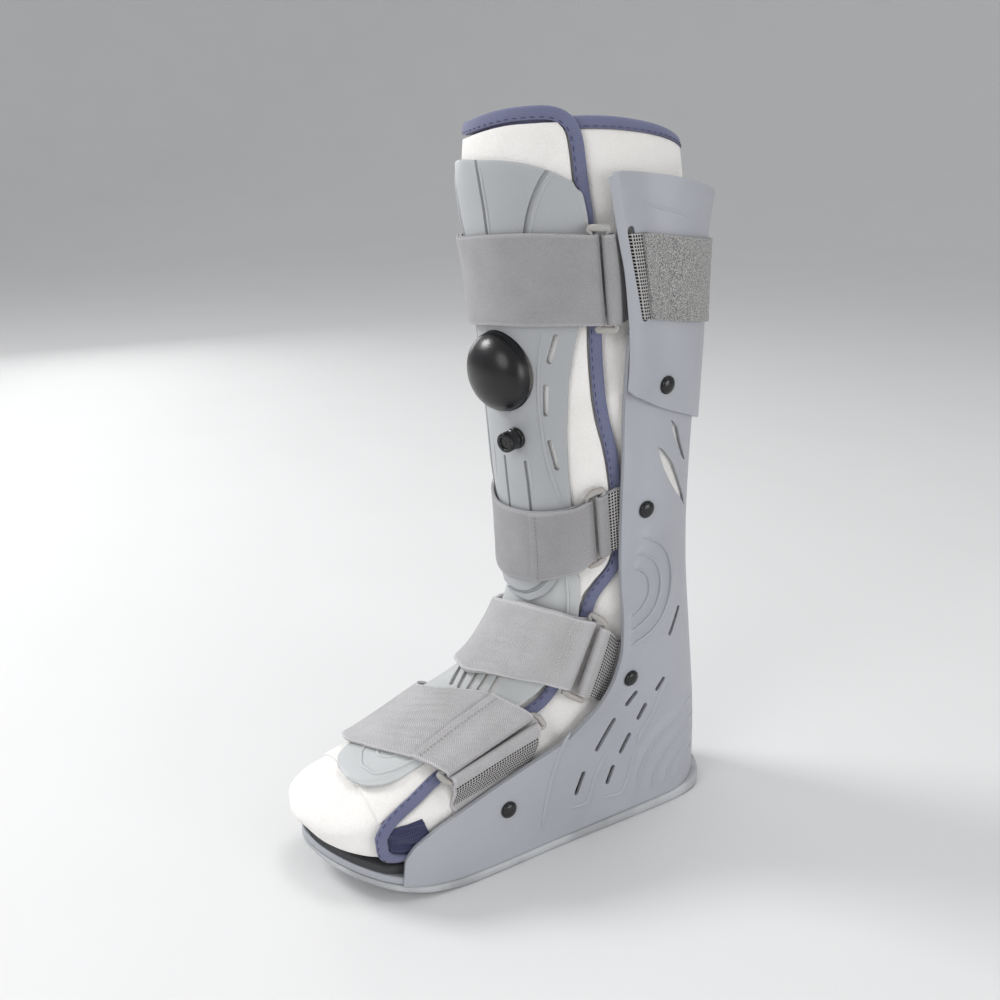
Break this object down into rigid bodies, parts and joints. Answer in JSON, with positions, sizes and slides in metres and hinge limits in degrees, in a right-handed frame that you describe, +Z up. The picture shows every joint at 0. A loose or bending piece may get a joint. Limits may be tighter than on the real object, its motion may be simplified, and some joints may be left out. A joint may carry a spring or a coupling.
{
  "type": "ankle brace",
  "caption": "Tall ankle walker brace: padded bootie in a plastic heel shell and calf cuff on a rocker sole, closed by ring straps, with an air pump and release valve on the shin plate.",
  "frame": {"origin": "on the floor under the middle of the bounding box", "axes": "+Z up the leg, -Y towards the toe, +X towards the side with the strap rings"},
  "size_m": [0.1446, 0.2898, 0.4494],
  "materials": {
    "shell": "moulded, fine satin",
    "front_plate": "moulded, satin",
    "foot_plate": "moulded, satin",
    "liner": "brushed loop cloth over foam",
    "binding": "woven tape",
    "webbing": "woven",
    "loop": "fuzzy loop pile",
    "ring": "moulded",
    "pump_rubber": "soft satin",
    "black_plastic": "moulded",
    "footbed": "closed-cell foam",
    "sole": "matte"
  },
  "bodies": {
    "boot": {"liner_body": "liner", "rim_binding": "binding", "liner_flap": "liner", "flap_binding": "binding", "front_plate": "front_plate", "foot_plate": "foot_plate", "pump_bulb": "pump_rubber", "valve_base": "black_plastic", "outsole": "sole", "footbed": "footbed", "foot_shell": "shell", "calf_cuff": "shell", "ring_calf_upper": "ring", "strap_calf_upper": "webbing", "anchor_calf_upper": "webbing", "ring_calf_lower": "ring", "strap_calf_lower": "webbing", "anchor_calf_lower": "webbing", "ring_instep": "ring", "strap_instep": "webbing", "anchor_instep": "webbing", "ring_forefoot": "ring", "strap_forefoot": "webbing", "anchor_forefoot": "webbing", "calf_loop_tape": "loop", "rivet_cuff_near": "black_plastic", "rivet_cuff_far": "black_plastic", "rivet_calf_near": "black_plastic", "rivet_calf_far": "black_plastic", "rivet_ankle_near": "black_plastic", "rivet_ankle_far": "black_plastic", "rivet_foot_near": "black_plastic", "rivet_foot_far": "black_plastic"},
    "valve_knob": {"valve_knob": "black_plastic"}
  },
  "joints": [
    {"name": "valve_turn", "type": "hinge", "parent": "boot", "child": "valve_knob", "pos_m": [0.0199, -0.01324, 0.26413], "axis": [0.309, -0.9442, -0.1141], "range_deg": [0, 180]}
  ]
}
